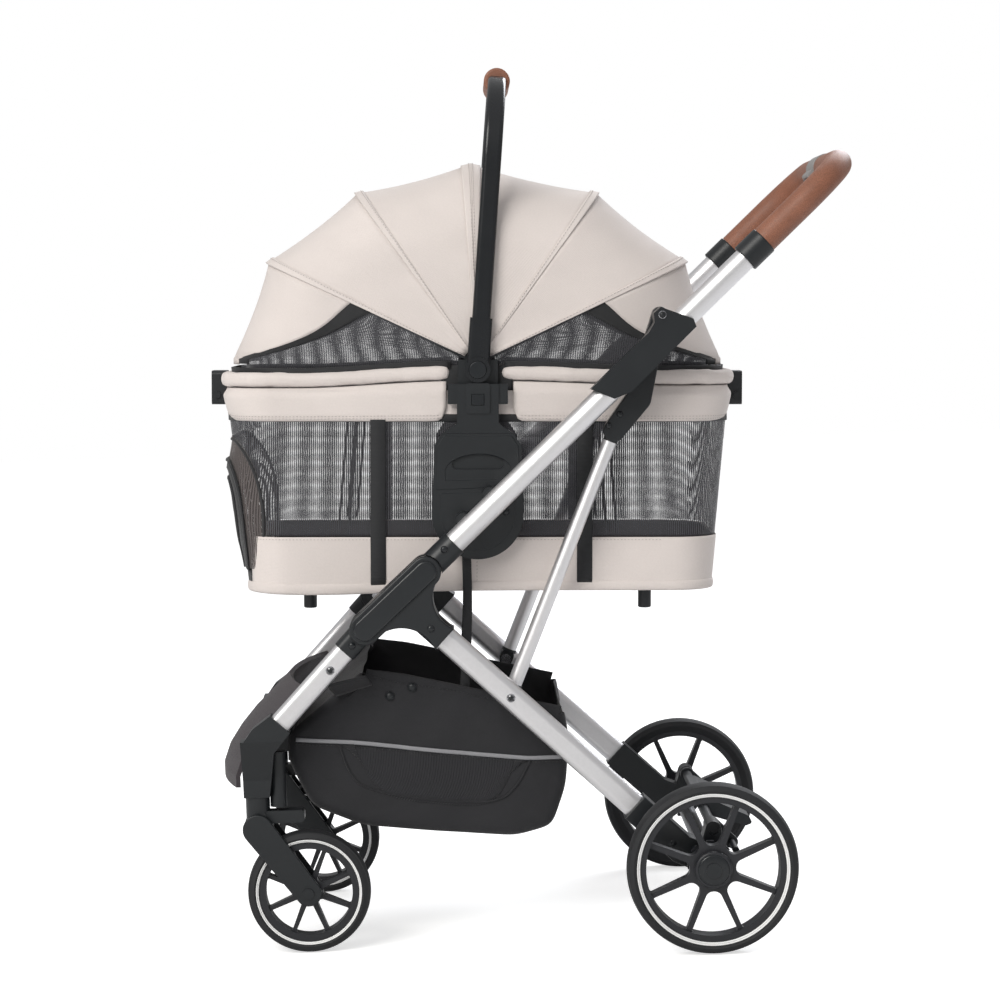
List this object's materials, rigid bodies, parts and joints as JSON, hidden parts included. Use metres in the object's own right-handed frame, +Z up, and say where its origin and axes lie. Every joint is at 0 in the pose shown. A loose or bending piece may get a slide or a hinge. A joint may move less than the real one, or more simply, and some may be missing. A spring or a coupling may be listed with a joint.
{
  "type": "pet stroller",
  "caption": "Folding pet stroller: an aluminium push frame on spoked wheels with swivel casters, carrying a lift-off fabric pet carrier with a fan canopy, mesh sides, carry arch and basket.",
  "frame": {"origin": "centre of the footprint's bounding box, on the floor under the wheels", "axes": "+X points to the rear, where the person who pushes walks; the stroller rolls toward -X. +Y is the stroller's right side for that person facing -X. +Z up."},
  "size_m": [0.7908, 0.553, 1.0582],
  "materials": {
    "silver_tube": "satin anodised",
    "black_plastic": "matte moulded",
    "black_tube": "satin powder coat",
    "pin_steel": "polished",
    "axle_steel": "brushed",
    "tan_leather": "smooth leatherette",
    "beige_fabric": "woven",
    "black_fabric": "woven",
    "tread": "smooth foam rubber"
  },
  "bodies": {
    "frame": {"hub_left": "black_plastic", "hub_right": "black_plastic", "rear_legs": "silver_tube", "rear_brackets": "black_plastic", "rear_axle": "axle_steel", "frame_pins": "pin_steel", "basket": "black_fabric"},
    "push_bar": {"push_tube": "silver_tube", "upper_sleeves": "black_plastic", "grip_fittings": "black_plastic", "push_grip": "tan_leather", "receiver_left": "black_plastic", "receiver_right": "black_plastic"},
    "fold_key": {"fold_release_button": "black_plastic"},
    "front_end": {"front_legs": "silver_tube", "lower_sleeves": "black_plastic", "knees": "black_plastic", "footrest": "black_plastic"},
    "brake": {"brake_pedal": "black_plastic"},
    "carrier": {"carrier_body": "beige_fabric", "rim_roll": "beige_fabric", "floor_pad": "beige_fabric", "carrier_adapters": "black_plastic", "pivot_plates": "black_plastic", "end_blocks": "black_plastic", "carrier_feet": "black_plastic", "canopy_front": "beige_fabric", "canopy_rear": "beige_fabric"},
    "carry_arch": {"arch_handle": "black_tube", "arch_grip": "tan_leather"},
    "door": {"front_door": "black_fabric"},
    "caster_left": {"caster_fork_left": "black_plastic"},
    "front_roller_left": {"front_wheel_left": "black_plastic", "front_tyre_left": "tread"},
    "rear_roller_left": {"rear_wheel_left": "black_plastic", "rear_tyre_left": "tread", "brake_gear_left": "black_plastic"},
    "shoe_left": {"slider_left": "black_plastic"},
    "prop_left": {"strut_left": "silver_tube", "strut_fittings_left": "black_plastic"},
    "arch_key_left": {"arch_button_left": "black_plastic"},
    "seat_key_left": {"adapter_button_left": "black_plastic"},
    "caster_right": {"caster_fork_right": "black_plastic"},
    "front_roller_right": {"front_wheel_right": "black_plastic", "front_tyre_right": "tread"},
    "rear_roller_right": {"rear_wheel_right": "black_plastic", "rear_tyre_right": "tread", "brake_gear_right": "black_plastic"},
    "shoe_right": {"slider_right": "black_plastic"},
    "prop_right": {"strut_right": "silver_tube", "strut_fittings_right": "black_plastic"},
    "arch_key_right": {"arch_button_right": "black_plastic"},
    "seat_key_right": {"adapter_button_right": "black_plastic"},
    "front_hoop_low": {"front_rib_low": "black_plastic"},
    "front_hoop_middle": {"front_rib_middle": "black_plastic"},
    "front_hoop_top": {"front_rib_top": "black_plastic"},
    "rear_hoop_low": {"rear_rib_low": "black_plastic"},
    "rear_hoop_middle": {"rear_rib_middle": "black_plastic"},
    "rear_hoop_top": {"rear_rib_top": "black_plastic"}
  },
  "joints": [
    {"name": "frame_fold", "type": "hinge", "parent": "frame", "child": "push_bar", "pos_m": [-0.1324, 0, 0.458], "axis": [0, 1, 0], "range_deg": [-60, 0], "deforming": ["basket"]},
    {"name": "fold_release", "type": "slide", "parent": "push_bar", "child": "fold_key", "axis": [0.7373, 0, 0.6756], "range_m": [0, 0.003], "stiffness_N_per_m": 400, "springref_m": -0.002},
    {"name": "front_leg_fold", "type": "hinge", "parent": "frame", "child": "front_end", "pos_m": [-0.2064, 0, 0.392], "axis": [0, 1, 0], "range_deg": [-54.05, 0]},
    {"name": "caster_swivel_left", "type": "hinge", "parent": "front_end", "child": "caster_left", "pos_m": [-0.3439, -0.172, 0.153], "axis": [0, 0, 1], "continuous": true},
    {"name": "front_wheel_spin_left", "type": "hinge", "parent": "caster_left", "child": "front_roller_left", "pos_m": [-0.2859, -0.172, 0.074], "axis": [0, 1, 0], "continuous": true},
    {"name": "rear_wheel_spin_left", "type": "hinge", "parent": "frame", "child": "rear_roller_left", "pos_m": [0.1936, -0.255, 0.1015], "axis": [0, 1, 0], "continuous": true},
    {"name": "slider_run_left", "type": "slide", "parent": "push_bar", "child": "shoe_left", "axis": [0.7373, 0, 0.6756], "range_m": [-0.102, 0]},
    {"name": "strut_swing_left", "type": "hinge", "parent": "frame", "child": "prop_left", "pos_m": [-0.0364, -0.172, 0.3034], "axis": [0, 1, 0], "range_deg": [-45.5, 0]},
    {"name": "arch_press_left", "type": "slide", "parent": "carry_arch", "child": "arch_key_left", "axis": [0, 1, 0], "range_m": [0, 0.0025], "stiffness_N_per_m": 400, "springref_m": -0.002},
    {"name": "seat_press_left", "type": "slide", "parent": "carrier", "child": "seat_key_left", "axis": [0, 1, 0], "range_m": [0, 0.0022], "stiffness_N_per_m": 400, "springref_m": -0.002},
    {"name": "caster_swivel_right", "type": "hinge", "parent": "front_end", "child": "caster_right", "pos_m": [-0.3439, 0.172, 0.153], "axis": [0, 0, 1], "continuous": true},
    {"name": "front_wheel_spin_right", "type": "hinge", "parent": "caster_right", "child": "front_roller_right", "pos_m": [-0.2859, 0.172, 0.074], "axis": [0, 1, 0], "continuous": true},
    {"name": "rear_wheel_spin_right", "type": "hinge", "parent": "frame", "child": "rear_roller_right", "pos_m": [0.1936, 0.255, 0.1015], "axis": [0, 1, 0], "continuous": true},
    {"name": "slider_run_right", "type": "slide", "parent": "push_bar", "child": "shoe_right", "axis": [0.7373, 0, 0.6756], "range_m": [-0.102, 0]},
    {"name": "strut_swing_right", "type": "hinge", "parent": "frame", "child": "prop_right", "pos_m": [-0.0364, 0.172, 0.3034], "axis": [0, 1, 0], "range_deg": [-45.5, 0]},
    {"name": "arch_press_right", "type": "slide", "parent": "carry_arch", "child": "arch_key_right", "axis": [0, -1, 0], "range_m": [0, 0.0025], "stiffness_N_per_m": 400, "springref_m": -0.002},
    {"name": "seat_press_right", "type": "slide", "parent": "carrier", "child": "seat_key_right", "axis": [0, -1, 0], "range_m": [0, 0.0022], "stiffness_N_per_m": 400, "springref_m": -0.002},
    {"name": "brake_press", "type": "hinge", "parent": "frame", "child": "brake", "pos_m": [0.1996, 0, 0.139], "axis": [0, 1, 0], "range_deg": [0, 14]},
    {"name": "carrier_lift", "type": "slide", "parent": "push_bar", "child": "carrier", "axis": [0.0332, 0, 0.9995], "range_m": [0, 0.25]},
    {"name": "arch_swing", "type": "hinge", "parent": "carrier", "child": "carry_arch", "pos_m": [-0.0624, 0, 0.693], "axis": [0, 1, 0], "range_deg": [-90, 82]},
    {"name": "door_swing", "type": "hinge", "parent": "carrier", "child": "door", "pos_m": [-0.3589, 0, 0.4597], "axis": [0, 1, 0], "range_deg": [-100, 0]},
    {"name": "front_canopy_fold", "type": "hinge", "parent": "carrier", "child": "front_hoop_low", "pos_m": [-0.0621, 0, 0.702], "axis": [0, 1, 0], "range_deg": [-19.5, 0], "deforming": ["canopy_front"]},
    {"name": "front_hoop_middle_fold", "type": "hinge", "parent": "front_hoop_low", "child": "front_hoop_middle", "pos_m": [-0.0621, 0, 0.702], "axis": [0, 1, 0], "range_deg": [-22, 0]},
    {"name": "front_hoop_top_fold", "type": "hinge", "parent": "front_hoop_middle", "child": "front_hoop_top", "pos_m": [-0.0621, 0, 0.702], "axis": [0, 1, 0], "range_deg": [-25, 0]},
    {"name": "rear_canopy_fold", "type": "hinge", "parent": "carrier", "child": "rear_hoop_low", "pos_m": [-0.0621, 0, 0.702], "axis": [0, 1, 0], "range_deg": [0, 19.5], "deforming": ["canopy_rear"]},
    {"name": "rear_hoop_middle_fold", "type": "hinge", "parent": "rear_hoop_low", "child": "rear_hoop_middle", "pos_m": [-0.0621, 0, 0.702], "axis": [0, 1, 0], "range_deg": [0, 22]},
    {"name": "rear_hoop_top_fold", "type": "hinge", "parent": "rear_hoop_middle", "child": "rear_hoop_top", "pos_m": [-0.0621, 0, 0.702], "axis": [0, 1, 0], "range_deg": [0, 25]}
  ],
  "couplings": [
    {"joint": "front_leg_fold", "follows": "frame_fold", "ratio": 0.9},
    {"joint": "slider_run_left", "follows": "frame_fold", "m_per_rad": 0.097266},
    {"joint": "strut_swing_left", "follows": "frame_fold", "ratio": 0.75666},
    {"joint": "slider_run_right", "follows": "frame_fold", "m_per_rad": 0.097266},
    {"joint": "strut_swing_right", "follows": "frame_fold", "ratio": 0.75666},
    {"joint": "front_hoop_middle_fold", "follows": "front_canopy_fold", "ratio": 1.1277},
    {"joint": "front_hoop_top_fold", "follows": "front_canopy_fold", "ratio": 1.2815},
    {"joint": "rear_hoop_middle_fold", "follows": "rear_canopy_fold", "ratio": 1.1277},
    {"joint": "rear_hoop_top_fold", "follows": "rear_canopy_fold", "ratio": 1.2815}
  ]
}
